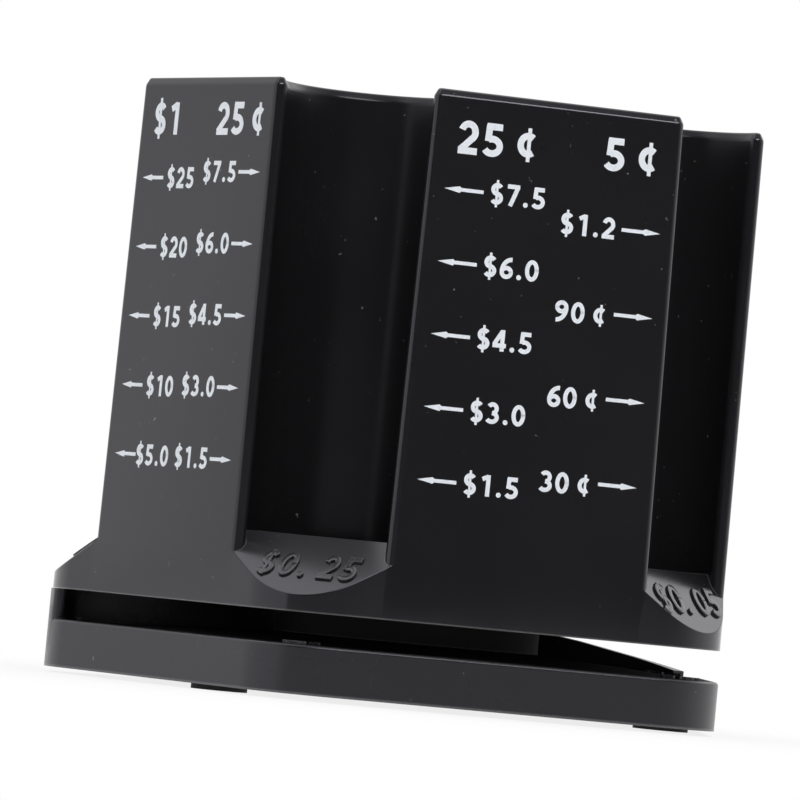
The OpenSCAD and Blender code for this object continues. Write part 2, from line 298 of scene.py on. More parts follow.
def skirt_corner(i, coin):
    edge_x, edge_y = channel_of(coin)["edge"]
    corner = corner_outline(tower_apothem, 0, corner_steps)
    reach = reach_of(tower_apothem) - corner_radius
    end_x, end_y = corner[0][0], corner[-1][1]
    flat = []
    for s in range(flat_parts, 0, -1):
        x = end_x + (edge_x - end_x) * s / flat_parts
        y = end_y + (edge_y - end_y) * s / flat_parts
        flat.append((x, -y))
    samples = [(x, y, math.cos(half_side), -math.sin(half_side)) for x, y in flat]
    samples += [(x, y, (x - reach) / corner_radius, y / corner_radius) for x, y in corner]
    samples += [(x, -y, math.cos(half_side), math.sin(half_side)) for x, y in reversed(flat)]
    columns = []
    for s, (x, y, nx, ny) in enumerate(samples):
        top = ledge_meet - ledge_slope(coin) * (x - edge_x)
        fall = 0.0 if s in (0, len(samples) - 1) else ledge_slope(coin) * nx
        columns.append(add_ring(shell, skirt_column(x, y, nx, ny, top, fall, i)))
    return columns


def seat_of(coin):
    edge_x, edge_y = channel_of(coin)["edge"]
    front = edge_x - (seat_height - ledge_meet) / ledge_slope(coin)
    back = channel_of(coin)["middle"] - channel_of(coin)["bore"] - seat_behind
    return front, back, edge_y


skirt = [skirt_corner(i, coin) for i, coin in enumerate(corner_coin)]
# The flat sides between two corners have only the rows from inside the wall to the top of its outer face
wall_rows = 9
for i, coin in enumerate(corner_coin):
    for left, right in zip(skirt[i], skirt[i][1:]):
        for r in range(len(left) - 1):
            shell.faces.new((left[r], right[r], right[r + 1], left[r + 1]))
    left, right = skirt[i][-1], skirt[(i + 1) % corners][0]
    for r in range(wall_rows - 1):
        shell.faces.new((left[r], right[r], right[r + 1], left[r + 1]))
    front, back, wide = seat_of(coin)
    level = tower_bottom + seat_height
    seat_plan = [(front, wide), (front, -wide), (back, -wide), (back, wide)]
    seat = add_ring(shell, [drafted(*turned(x, y, i), level) for x, y in seat_plan])
    shell.faces.new([column[-1] for column in skirt[i]] + [seat[0], seat[1]])
    shell.faces.new((seat[1], seat[0], seat[3], seat[2]))
tower_moulding = moulding("tower_moulding", shell, "tower")
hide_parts("coin_tower")

# %% [markdown]
# ## The base plate
# The base is a shallow tray turned upside down: a plain rounded wall, a flat land, and a low cone that
# rises to the hub the tower turns on. A guard rail stands on the back half and runs down a ramp at its
# open end. It is skinned from rings again, first pentagons and then circles with the same number of
# points.

# %% Plate, cone and hub
base_top = 7.95 * mm
base_round = 0.55 * mm
base_wall = 2.2 * mm
wall_return = 1.5 * mm
cone_land = 2.6 * mm
cone_rise = 1.35 * mm
cone_reach = base_apothem - cone_land
cone_top = base_top + cone_rise
hub_radius = 19.75 * mm
hub_edge = 0.3 * mm
ring_stand = 0.2 * mm
hub_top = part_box("slip_ring")[1].z - ring_stand
groove_radius = 18.05 * mm
groove_depth = 0.6 * mm
land_margin = 0.01 * mm
plate_steps = 16
flat_steps = 10
tray = bmesh.new()


def plate_ring(inset, z):
    points = []
    corner = corner_outline(base_apothem, inset, plate_steps)
    for i in range(corners):
        points += [turned(x, y, i) for x, y in corner]
        x0, y0 = points[-1]
        x1, y1 = turned(*corner[0], i + 1)
        for s in range(1, flat_steps):
            points.append((x0 + (x1 - x0) * s / flat_steps, y0 + (y1 - y0) * s / flat_steps))
    return [Vector((x, y, z)) for x, y in points]


def round_ring(radius, z):
    return [Vector((p.x, p.y, 0)).normalized() * radius + Vector((0, 0, z)) for p in plate_ring(0, 0)]


rounding = quarter_round(base_round, round_steps)
plate = [plate_ring(base_wall, base_bottom + wall_return), plate_ring(base_wall, base_bottom)]
plate += [plate_ring(base_round - rise, base_bottom + base_round - inset) for inset, rise in rounding]
plate += [plate_ring(inset, base_top - base_round + rise) for inset, rise in rounding]
plate += [round_ring(cone_reach, base_top), round_ring(hub_radius, cone_top)]
plate += [round_ring(hub_radius, hub_top - hub_edge), round_ring(hub_radius - hub_edge, hub_top)]
plate += [round_ring(groove_radius, hub_top), round_ring(groove_radius, hub_top - groove_depth)]
plate_rings = [add_ring(tray, points) for points in plate]
for low, high in zip(plate_rings, plate_rings[1:]):
    for face in skin(tray, low, high):
        # The land, cone and hub take the second finish, whose weak reflection is painted shade in the gap
        face.material_index = 1 if low[0].co.z > base_top - land_margin else 0
print("base plate:", len(plate_rings), "rings, hub top at", in_mm(hub_top), "mm")

# %% Guard rail with its ramp
rail_width = 2.0 * mm
rail_slope = math.tan(math.radians(10))
rail_step = 0.8 * mm
rail_round = 0.12 * mm
rail_crown = 0.3
most_of_height, most_of_width = 0.45, 0.4
rail_play = 0.05 * mm
rail_first, rail_last = 17.9, 167.1
rail_full = tower_bottom - rail_play
rail_foot = base_top - base_round
ramp_side = math.radians(144)
tip_shares = (0.35, 0.65, 0.87, 0.97)


def rail_level(x, y):
    side = Vector((math.sin(ramp_side), -math.cos(ramp_side)))
    along = Vector((math.cos(ramp_side), math.sin(ramp_side)))
    spot = Vector((x, y))
    if spot.dot(side) < base_apothem / 2 or spot.dot(along) > 0:
        return rail_full
    ramp = rail_slope * (spot.dot(along) + reach_of(base_apothem) * math.sin(half_side))
    return min(rail_full, base_top + rail_step + max(0.0, ramp))


rail_columns = []
for outer, inner in zip(plate_ring(0, 0), plate_ring(rail_width, 0)):
    turn = math.degrees(math.atan2(outer.y, outer.x))
    if rail_first <= turn <= rail_last:
        rail_columns.append((turn, outer, inner))
rail_columns.sort(key=lambda c: c[0])
rail_columns = [(outer, inner) for _, outer, inner in rail_columns]
end_outer, end_inner = rail_columns[-1]
end_middle = (end_outer + end_inner) / 2
end_ahead = (end_inner - end_outer).normalized().cross(Vector((0, 0, 1))).normalized()
if end_ahead.dot(rail_columns[-2][0] - end_outer) > 0:
    end_ahead = -end_ahead
for share in tip_shares:
    half_left = (end_outer - end_inner) / 2 * math.sqrt(1 - share ** 2)
    tip = end_middle + end_ahead * (rail_width / 2 * share)
    rail_columns.append((tip + half_left, tip - half_left))
rail_rows = []
for outer, inner in rail_columns:
    level = rail_level(outer.x, outer.y)
    inward = (inner - outer).normalized()
    cut = min(rail_round, most_of_height * (level - base_top), most_of_width * (inner - outer).length)
    crown = cut * rail_crown
    profile = [(outer, rail_foot), (outer, level - cut), (outer + inward * crown, level - crown)]
    profile += [(outer + inward * cut, level), (inner - inward * cut, level)]
    profile += [(inner - inward * crown, level - crown), (inner, level - cut), (inner, rail_foot)]
    row = [Vector((spot.x, spot.y, z)) for spot, z in profile]
    rail_rows.append(add_ring(tray, row))
for low, high in zip(rail_rows, rail_rows[1:]):
    skin(tray, low, high)
tray.faces.new(rail_rows[0])
tray.faces.new(rail_rows[-1][::-1])
base_moulding = moulding("base_moulding", tray, "base")
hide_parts("base_shell")
print("rail:", len(rail_rows), "steps")

# %% [markdown]
# ## Black satin plastic
# The mouldings are black plastic with a satin gloss. Nearly all of what the eye sees is reflection, so
# the colour is almost black and the detail is in the gloss: broad patches where the surface is a touch
# duller, a very fine grain, and a scatter of pale dust and rubbing marks. Edges are painted paler where
# the bevel-normal trick finds them, partly real rubbing and partly a painted highlight. The land and hub
# under the tower get a matt finish that reflects very little, a painted shade that keeps the gap dark.

# %% Helpers for finishes
def finish(name, colour, rough, metallic=0.0):
    material = bpy.data.materials.new(name)
    material.use_nodes = True
    nodes, links = material.node_tree.nodes, material.node_tree.links
    skin_node = nodes["Principled BSDF"]
    skin_node.inputs["Base Color"].default_value = (*colour, 1)
    skin_node.inputs["Roughness"].default_value = rough
    skin_node.inputs["Metallic"].default_value = metallic
    return material, nodes, links, skin_node


def noise(nodes, links, scale, detail, rough=0.5):
    place = nodes.new("ShaderNodeTexCoord")
    cloud = nodes.new("ShaderNodeTexNoise")
    cloud.inputs["Scale"].default_value = scale
    cloud.inputs["Detail"].default_value = detail
    cloud.inputs["Roughness"].default_value = rough
    links.new(place.outputs["Object"], cloud.inputs["Vector"])
    return cloud.outputs["Fac"]


def spread(nodes, links, value, low, high, out_low, out_high):
    span = nodes.new("ShaderNodeMapRange")
    span.inputs["From Min"].default_value = low
    span.inputs["From Max"].default_value = high
    span.inputs["To Min"].default_value = out_low
    span.inputs["To Max"].default_value = out_high
    links.new(value, span.inputs["Value"])
    return span.outputs["Result"]


# Edge mask for a paler colour on every edge: partly real rubbing, partly a painted highlight
edge_start, edge_full = 0.96, 0.78


def worn_and_highlit_edges(nodes, links, radius):
    soft = nodes.new("ShaderNodeBevel")
    soft.samples = 6
    soft.inputs["Radius"].default_value = radius
    plain = nodes.new("ShaderNodeNewGeometry")
    match = nodes.new("ShaderNodeVectorMath")
    match.operation = "DOT_PRODUCT"
    links.new(soft.outputs["Normal"], match.inputs[0])
    links.new(plain.outputs["Normal"], match.inputs[1])
    return spread(nodes, links, match.outputs["Value"], edge_start, edge_full, 0.0, 1.0)


def tint(nodes, links, amount, plain, marked):
    blend = nodes.new("ShaderNodeMix")
    blend.data_type = "RGBA"
    blend.inputs["A"].default_value = (*plain, 1)
    blend.inputs["B"].default_value = (*marked, 1)
    links.new(amount, blend.inputs["Factor"])
    return blend.outputs["Result"]


def grain(nodes, links, skin_node, value, distance, strength):
    bump = nodes.new("ShaderNodeBump")
    bump.inputs["Distance"].default_value = distance
    bump.inputs["Strength"].default_value = strength
    links.new(value, bump.inputs["Height"])
    links.new(bump.outputs["Normal"], skin_node.inputs["Normal"])


# %% Satin black for both mouldings
sheen = (0.92, 0.90, 1.0, 1)
# Pale colour shared by the dust specks and the painted edge highlight
pale_dust_and_highlight = (0.2, 0.198, 0.2)
rub_and_highlight_width = 0.35 * mm
rub_and_highlight_share = 0.5
cool_cast = (1.0, 0.99, 1.09)
patch_scale, speck_scale, grain_scale = 55, 900, 2600
grain_height = 0.01 * mm


def satin_black(name, tone, dullness, grain_depth, dust):
    colour = tuple(tone * share for share in cool_cast)
    material, nodes, links, skin_node = finish(name, colour, dullness)
    skin_node.inputs["Specular Tint"].default_value = sheen
    clouds = noise(nodes, links, patch_scale, 4)
    dull_patches = spread(nodes, links, clouds, 0.3, 0.7, dullness - 0.03, dullness + 0.04)
    links.new(dull_patches, skin_node.inputs["Roughness"])
    specks = spread(nodes, links, noise(nodes, links, speck_scale, 2, 0.7), 0.73, 0.79, 0.0, dust)
    # Amount of pale colour: dust specks plus half the edge mask, which is a painted edge highlight
    dust_and_edge_highlight = nodes.new("ShaderNodeMath")
    dust_and_edge_highlight.operation = "MULTIPLY_ADD"
    dust_and_edge_highlight.inputs[1].default_value = rub_and_highlight_share
    links.new(worn_and_highlit_edges(nodes, links, rub_and_highlight_width), dust_and_edge_highlight.inputs[0])
    links.new(specks, dust_and_edge_highlight.inputs[2])
    links.new(tint(nodes, links, dust_and_edge_highlight.outputs["Value"], colour, pale_dust_and_highlight), skin_node.inputs["Base Color"])
    grain(nodes, links, skin_node, noise(nodes, links, grain_scale, 3), grain_height, grain_depth)
    return material


tower_black = satin_black("tower satin black", tone=0.0125, dullness=0.13, grain_depth=0.05, dust=0.8)
bore_black = satin_black("bore rubbed black", tone=0.010, dullness=0.24, grain_depth=0.10, dust=1.4)
bore_black.node_tree.nodes["Principled BSDF"].inputs["Specular IOR Level"].default_value = 0.3
base_black = satin_black("base satin black", tone=0.0145, dullness=0.28, grain_depth=0.20, dust=0.8)
# Hub and land: matt, and reflecting very little, a painted shade that keeps the gap under the tower dark
hub_painted_shade_black = satin_black("hub matt black painted shade", tone=0.02, dullness=0.6, grain_depth=0.3, dust=0.1)
hub_painted_shade_black.node_tree.nodes["Principled BSDF"].inputs["Specular IOR Level"].default_value = 0.08
tower_moulding.data.materials.append(tower_black)
tower_moulding.data.materials.append(bore_black)
base_moulding.data.materials.append(base_black)
base_moulding.data.materials.append(hub_painted_shade_black)
print("finishes so far:", [m.name for m in bpy.data.materials if "satin" in m.name])

# %% [markdown]
# ## Finishes of the parts inside and below
# These parts keep their CAD shape and only get a better surface: duller black for the two closing
# plates, zinc on the bolt, nut, washers and screws, sintered bronze for the bush, a milky low-friction
# plastic for the ring and black rubber for the pads.

# %% Plates, metals, ring and rubber
patch_share, grain_share = 0.35, 6
speckle_height = 0.02 * mm


def speckled(name, colour, marked, rough, metallic, scale, depth):
    material, nodes, links, skin_node = finish(name, colour, rough, metallic)
    clouds = noise(nodes, links, scale, 5, 0.6)
    dull_patches = spread(nodes, links, clouds, 0.3, 0.7, rough - 0.08, rough + 0.1)
    links.new(dull_patches, skin_node.inputs["Roughness"])
    patch = spread(nodes, links, noise(nodes, links, scale * patch_share, 3), 0.45, 0.75, 0.0, 1.0)
    links.new(tint(nodes, links, patch, colour, marked), skin_node.inputs["Base Color"])
    grain(nodes, links, skin_node, noise(nodes, links, scale * grain_share, 2), speckle_height, depth)
    return material


plate_plastic = speckled(
    "dark plate plastic", (0.016, 0.016, 0.017), (0.026, 0.026, 0.027),
    rough=0.5, metallic=0.0, scale=160, depth=0.5,
)
zinc = speckled(
    "zinc plate", (0.55, 0.56, 0.58), (0.42, 0.43, 0.47),
    rough=0.34, metallic=1.0, scale=420, depth=0.25,
)
bronze = speckled(
    "oiled bronze", (0.38, 0.25, 0.11), (0.24, 0.15, 0.07),
    rough=0.42, metallic=1.0, scale=900, depth=0.4,
)
slip_plastic = speckled(
    "slip ring plastic", (0.70, 0.69, 0.64), (0.60, 0.59, 0.54),
    rough=0.38, metallic=0.0, scale=300, depth=0.3,
)
pad_rubber = speckled(
    "pad rubber", (0.022, 0.022, 0.023), (0.045, 0.045, 0.045),
    rough=0.78, metallic=0.0, scale=500, depth=0.8,
)
part_finish = [
    (plate_plastic, ["tower_floor", "base_cover"]),
    (zinc, ["floor_screws", "cover_screws", "pivot_bolt", "lock_nut", "head_washer", "nut_washer"]),
    (bronze, ["pivot_bush"]),
    (slip_plastic, ["slip_ring"]),
    (pad_rubber, ["foot_1", "foot_2", "foot_3", "foot_4"]),
]
for material, names in part_finish:
    for name in names:
        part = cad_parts[name]
        part.data.materials.clear()
        part.data.materials.append(material)
    print(material.name, "on", ", ".join(names))

# %% [markdown]
# ## Printed scales
# The white figures are printed on the flat ridges. A print has no thickness worth speaking of, so each
# one is a flat mesh a few hundredths of a millimetre off the plastic, laid on the tapered face point by
# point. The figures are drawn as a sign painter would draw them, as strokes of one width along arcs and
# straight lines in a box one unit high. Blender's own font would save that work, but its figures don't
# look like these. Each stroke of a figure has its own layer number, so that crossing strokes never lie
# in the same plane.

# %% White ink
ink_full = (0.80, 0.835, 0.89)
ink_worn = (0.69, 0.715, 0.76)
wear_scale, ink_grain_scale = 1500, 3200
ink_grain_height = 0.008 * mm
ink, ink_nodes, ink_links, ink_skin = finish("white scale ink", ink_full, 0.5)
ink_clouds = noise(ink_nodes, ink_links, wear_scale, 3, 0.7)
thin = spread(ink_nodes, ink_links, ink_clouds, 0.28, 0.44, 1.0, 0.0)
ink_links.new(tint(ink_nodes, ink_links, thin, ink_full, ink_worn), ink_skin.inputs["Base Color"])
ink_grain = noise(ink_nodes, ink_links, ink_grain_scale, 2)
grain(ink_nodes, ink_links, ink_skin, ink_grain, ink_grain_height, 0.4)
print("ink:", ink.name)

# %% Figures as strokes
bow_steps = 18


def bow(cx, cy, rx, ry, start, end):
    turns = [math.radians(start + (end - start) * s / bow_steps) for s in range(bow_steps + 1)]
    return [(cx + rx * math.cos(t), cy + ry * math.sin(t)) for t in turns]


six = [bow(0.345, 0.30, 0.225, 0.205, 0, 370), bow(0.58, 0.33, 0.465, 0.575, 180, 88)]
strokes = {
    "0": [bow(0.33, 0.5, 0.235, 0.405, 0, 370)],
    "1": [[(0.42, 0), (0.42, 1)], [(0.13, 0.79), (0.42, 0.935)]],
    "2": [bow(0.33, 0.66, 0.215, 0.245, 165, -32) + [(0.11, 0.12)], [(0.03, 0.095), (0.64, 0.095)]],
    "3": [bow(0.30, 0.70, 0.20, 0.205, 150, -90), bow(0.29, 0.30, 0.25, 0.205, 90, -150)],
    "4": [[(0.47, 0), (0.47, 1)], [(0.45, 0.95), (0.07, 0.30)], [(0, 0.27), (0.66, 0.27)]],
    "5": [
        [(0.10, 0.905), (0.60, 0.905)],
        [(0.19, 0.95), (0.165, 0.46)],
        bow(0.30, 0.315, 0.25, 0.22, 118, -150),
    ],
    "6": six,
    "7": [[(0.04, 0.905), (0.64, 0.905)], [(0.56, 0.93), (0.22, 0)]],
    "9": [[(0.66 - x, 1 - y) for x, y in stroke] for stroke in six],
    "$": [bow(0.34, 0.70, 0.205, 0.205, 32, 270), bow(0.32, 0.30, 0.225, 0.205, 90, -148)],
    "¢": [bow(0.33, 0.475, 0.245, 0.275, 52, 308)],
}
thin_bars = {
    "$": [(0.33, -0.13), (0.33, 1.14)],
    "¢": [(0.35, -0.03), (0.35, 0.99)],
    ".": bow(0.17, 0.12, 0.06, 0.06, 0, 370),
}
thin_share = 0.58
figure_wide = 0.66
plain_step = 0.80
figure_step = {".": 0.46, " ": 0.32, "¢": 0.60}


def ribbon(path, width):
    left, right = [], []
    for n, (x, y) in enumerate(path):
        before, after = path[max(n - 1, 0)], path[min(n + 1, len(path) - 1)]
        across = Vector((before[1] - after[1], after[0] - before[0])).normalized() * width / 2
        left.append((x + across.x, y + across.y))
        right.append((x - across.x, y - across.y))
    count = len(path)
    return left + right, [(count + n, count + n + 1, n + 1, n) for n in range(count - 1)]


def words_of(text, height, weight=0.205):
    points, faces, pen, wide = [], [], 0.0, 0.0
    for sign in text:
        marks = [(path, weight) for path in strokes.get(sign, [])]
        marks += [(thin_bars[sign], weight * thin_share)] if sign in thin_bars else []
        for layer, (path, width) in enumerate(marks):
            outline, quads = ribbon(path, width)
            faces += [tuple(v + len(points) for v in quad) for quad in quads]
            points += [((x + pen) * height, y * height, layer) for x, y in outline]
        wide = pen + figure_wide
        pen += figure_step.get(sign, plain_step)
    return points, faces, wide * height


print("width of a 3 mm price tag:", in_mm(words_of("$7.5", 3 * mm)[2]), "mm")

# %% [markdown]
# ## Laying out one ridge
# Every ridge carries two columns, one for each neighbouring channel: the coin's value at the top and a
# row of arrows with amounts under it. A step is about a whole number of coins thick, so the rows of the
# two columns do not always line up. An arrow is a thin bar with a long slim head, pointing at its own
# channel. Ridges other than the front one have shorter arrows, as the ridge left of the front shows.

# %% Scale of one column
ink_gap = 0.03 * mm
ink_layer = 0.25
title_height = 4.75 * mm
amount_height = 3.08 * mm
right_lift = 0.28 * mm
cent_fall, dollar_fall = 1.87 * mm, 1.52 * mm
# The next four lines are in millimetres
front_arrow, other_arrow = 5.95, 5.4
front_title_z, other_title_z = 79.7, 80.2
label_room, tight_room, closest_room = 1.0, 0.65, 0.1
arrow_head, arrow_neck = (2.35, 0.47), (2.6, 0.26)


def on_ridge(k, u, z, layer):
    turn = 2 * half_side * k
    side = Vector((math.sin(turn), -math.cos(turn), 0))
    along = Vector((math.cos(turn), math.sin(turn), 0))
    foot = drafted(tower_apothem, 0, z).x + ink_gap * (1 + ink_layer * layer)
    return side * foot + along * u + Vector((0, 0, z))


def print_on(bm, k, points, faces, u, z):
    verts = [bm.verts.new(on_ridge(k, u + x, z + y, layer)) for x, y, layer in points]
    for face in faces:
        bm.faces.new([verts[v] for v in face])


def arrow(way, length):
    upper = [arrow_head, arrow_neck, (length, arrow_neck[1])]
    shape = [(0, 0)] + upper + [(x, -y) for x, y in reversed(upper)]
    points = [(-way * x * mm, y * mm, 0) for x, y in shape]
    return points, [tuple(range(len(points)))]


def scale_column(bm, k, way, tip, coin, title_u):
    rows, amounts, title = scale_rows[coin]
    at_front, at_left = k == 0, way < 0
    length = front_arrow if at_front else other_arrow
    room = label_room if at_front or at_left else tight_room
    title_z = front_title_z if at_front else other_title_z
    rows = rows if at_front or at_left else [z + right_lift for z in rows]
    points, faces, wide = words_of(title, title_height)
    print_on(bm, k, points, faces, title_u if at_left else title_u - wide, title_z * mm)
    for z, amount in zip(rows, amounts):
        points, faces = arrow(way, length)
        print_on(bm, k, points, faces, tip, z)
        points, faces, wide = words_of(amount, amount_height)
        label = tip - way * (length + (room if amount != "$5.0" else closest_room)) * mm
        fall = cent_fall if "¢" in amount else dollar_fall
        print_on(bm, k, points, faces, label if at_left else label - wide, z - fall)


def steps_down(first, step, count):
    return [(first - step * n) * mm for n in range(count)]


print("arrows:", front_arrow, "mm long in front,", other_arrow, "mm elsewhere")

# %% Scales on the five ridges
quarters = ["$7.5", "$6.0", "$4.5", "$3.0", "$1.5"]
nickels = ["$1.2", "90 ¢", "60 ¢", "30 ¢"]
dollars = ["$25", "$20", "$15", "$10", "$5.0"]
pennies = ["40 ¢", "30 ¢", "20 ¢", "10 ¢"]
dimes = ["$4.0", "$3.0", "$2.0", "$1.0"]
# Each scale's top row and step in millimetres, its number of rows, its amounts and its title
scale_rows = {
    "quarter": (steps_down(74.52, 10.41, 5), quarters, "25 ¢"),
    "nickel": (steps_down(71.45, 12.24, 4), nickels, "5 ¢"),
    "dollar": (steps_down(73.85, 10.19, 5), dollars, "$1"),
    "penny": (steps_down(74.0, 15.2, 4), pennies, "1 ¢"),
    "dime": (steps_down(71.0, 13.5, 4), dimes, "10 ¢"),
}
ridge_coins = {
    0: ("quarter", "nickel"),
    1: ("nickel", "penny"),
    2: ("penny", "dime"),
    -2: ("dime", "dollar"),
    -1: ("dollar", "quarter"),
}
# Room beside the titles in millimetres, left and right
title_room = {0: (3.4, 3.3), -1: (3.6, 2.1)}
other_title_room = (3.6, 3.0)
left_tip, right_tip = 2.08 * mm, 2.15 * mm
prints = bmesh.new()
for k, (left, right) in ridge_coins.items():
    half = apex_of(tower_apothem) * math.sin(half_side)
    left_edge, right_edge = -half + channel_of(left)["along"], half - channel_of(right)["along"]
    left_room, right_room = title_room.get(k, other_title_room)
    scale_column(prints, k, -1, left_edge + left_tip, left, left_edge + left_room * mm)
    scale_column(prints, k, 1, right_edge - right_tip, right, right_edge - right_room * mm)
scale_mesh = bpy.data.meshes.new("printed_scales")
prints.to_mesh(scale_mesh)
prints.free()
printed_scales = bpy.data.objects.new("printed_scales", scale_mesh)
bpy.context.scene.collection.objects.link(printed_scales)
scale_mesh.materials.append(ink)
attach(printed_scales, "tower")
print("printed scales:", len(scale_mesh.polygons), "faces")

# %% [markdown]
# ## Raised values on the ledges
# Each sloping ledge has its coin's value moulded on it in leaning figures that stand up a third of a
# millimetre. They are the same figures, leaned over, laid on the slope and given a thickness with soft
# edges, so they catch the light as the real ones do.

# %% Raised figures
ledge_text = {
    "nickel": "$0. 05",
    "penny": "$0. 01",
    "dime": "$0. 10",
    "dollar": "$1. 00",
    "quarter": "$0. 25",
}
value_height = 4.95 * mm
value_weight = 0.19
full_ledge = 9.6 * mm
value_grow = {"nickel": 1.05}
value_shift = {"nickel": 0.45 * mm}
plain_shift = 0.15 * mm
value_lean, value_narrow = 0.13, 0.785
value_drop = 0.565
bar_past = 0.03
sunk, layer_step = 0.05 * mm, 0.01 * mm
value_thick, value_soft = 0.38 * mm, 0.12 * mm


def stand_up(name, spots, faces, thickness):
    figures = bmesh.new()
    verts = add_ring(figures, spots)
    for face in faces:
        figures.faces.new([verts[v] for v in face])
    mesh = bpy.data.meshes.new(name)
    figures.to_mesh(mesh)
    figures.free()
    piece = bpy.data.objects.new(name, mesh)
    bpy.context.scene.collection.objects.link(piece)
    thick = piece.modifiers.new("stand up", "SOLIDIFY")
    thick.thickness = thickness
    thick.offset = 1.0
    return piece


def on_ledge(i, across, up, out):
    coin = corner_coin[i]
    edge_x = channel_of(coin)["edge"][0]
    lie = Vector((-1, 0, ledge_slope(coin))).normalized()
    rise = Vector((ledge_slope(coin), 0, 1)).normalized()
    spot = Vector((edge_x, 0, tower_bottom + ledge_meet)) + lie * up + rise * out
    return drafted(*turned(spot.x, across, i), spot.z)


for i, coin in enumerate(corner_coin):
    height = value_height * min(1.0, channel_of(coin)["edge"][1] / full_ledge) * value_grow.get(coin, 1.0)
    points, faces, wide = words_of(ledge_text[coin], height, value_weight)
    fall = ledge_meet - ledge_foot
    drop = value_drop * math.hypot(fall, fall / ledge_slope(coin))
    spots = []
    for x, y, layer in points:
        y = min(max(y, -bar_past * height), (1 + bar_past) * height)
        across = (x - wide / 2) * value_narrow + y * value_lean - value_shift.get(coin, plain_shift)
        spots.append(on_ledge(i, across, y - drop, layer_step * layer - sunk))
    value = stand_up("raised_value_" + coin, spots, faces, value_thick)
    value.data.shade_smooth()
    soft = value.modifiers.new("soft edges", "BEVEL")
    soft.width = value_soft
    soft.segments = 3
    value.modifiers.new("even shading", "WEIGHTED_NORMAL")
    value.data.materials.append(tower_black)
    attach(value, "tower")
    print(value.name, "is", in_mm(wide * value_narrow, 1), "mm wide")

# %% [markdown]
# ## Raised marks on the base
# On the flat corners of the base, low raised figures name the channel above. The tower hides them from
# most sides, and through the gap only their edges show as small bright steps. They are made as the
# ledge figures are, but lie flat and read outwards from the axis.

# %% Base marks
mark_height, mark_thick = 3.4 * mm, 0.45 * mm
mark_weight = 0.15
mark_inset = 0.8 * mm
for i, coin in enumerate(corner_coin):
    points, faces, wide = words_of(scale_rows[coin][2], mark_height, mark_weight)
    spots = []
    for x, y, layer in points:
        px, py = turned(reach_of(base_apothem) - mark_inset - wide + x, y - mark_height / 2, i)
        spots.append((px, py, base_top - sunk + layer_step * layer))
    mark = stand_up("base_mark_" + coin, spots, faces, mark_thick)
    mark.data.materials.append(base_black)
    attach(mark, "base")
    print(mark.name, "is", in_mm(wide, 1), "mm long")

# %% [markdown]
# ## Floor, backdrop and light
# The picture is a plain studio shot: white all round the back and on the left, dark on the side of the
# camera. Black plastic shows its surroundings more than its own colour, so the surroundings are built
# as a photographer would build them: a white room, a pale floor, and a tall dark screen behind the
# camera. The screen's left end is what stops the light part of the near corner. It grows lighter
# towards its right end, so that the right-hand corners fade out softly, and towards its top, which the
# bevelled edges mirror. It is kept out of the camera's sight, so other views stay white. The left
# softbox and the low strip in front light the plastic without being mirrored in it.

# %% Seen white
def seen_white(nodes, links):
    path = nodes.new("ShaderNodeLightPath")
    total = path.outputs["Is Camera Ray"]
    for ray in ("Is Glossy Ray", "Is Transmission Ray"):
        either = nodes.new("ShaderNodeMath")
        either.operation = "MAXIMUM"
        links.new(total, either.inputs[0])
        links.new(path.outputs[ray], either.inputs[1])
        total = either.outputs["Value"]
    return total


def stage_piece(name, points, faces, material):
    mesh = bpy.data.meshes.new(name)
    mesh.from_pydata(points, [], faces)
    mesh.materials.append(material)
    piece = bpy.data.objects.new(name, mesh)
    bpy.context.scene.collection.objects.link(piece)
    return piece


# %% Pale floor
floor_half = 6
shadow_from, shadow_to = 0.06, 0.15
near_white = 0.82
floor_pale, floor_nodes, floor_links, floor_skin = finish("pale floor", (0.9, 0.9, 0.9), 0.9)
floor_glow = floor_nodes.new("ShaderNodeEmission")
floor_mix = floor_nodes.new("ShaderNodeMixShader")
floor_place = floor_nodes.new("ShaderNodeTexCoord")
floor_far = floor_nodes.new("ShaderNodeVectorMath")
floor_far.operation = "LENGTH"
floor_links.new(floor_place.outputs["Object"], floor_far.inputs[0])
floor_fade = floor_nodes.new("ShaderNodeMath")
floor_fade.operation = "MULTIPLY"
away = floor_far.outputs["Value"]
floor_white = spread(floor_nodes, floor_links, away, shadow_from, shadow_to, near_white, 1.0)
floor_links.new(floor_white, floor_fade.inputs[0])
floor_links.new(seen_white(floor_nodes, floor_links), floor_fade.inputs[1])
floor_links.new(floor_fade.outputs["Value"], floor_mix.inputs["Fac"])
floor_links.new(floor_skin.outputs["BSDF"], floor_mix.inputs[1])
floor_links.new(floor_glow.outputs["Emission"], floor_mix.inputs[2])
floor_links.new(floor_mix.outputs["Shader"], floor_nodes["Material Output"].inputs["Surface"])
floor_points = [(x * floor_half, y * floor_half, 0) for x, y in ((-1, -1), (1, -1), (1, 1), (-1, 1))]
floor = stage_piece("floor", floor_points, [(0, 1, 2, 3)], floor_pale)
print("floor:", floor.dimensions.x, "m wide")

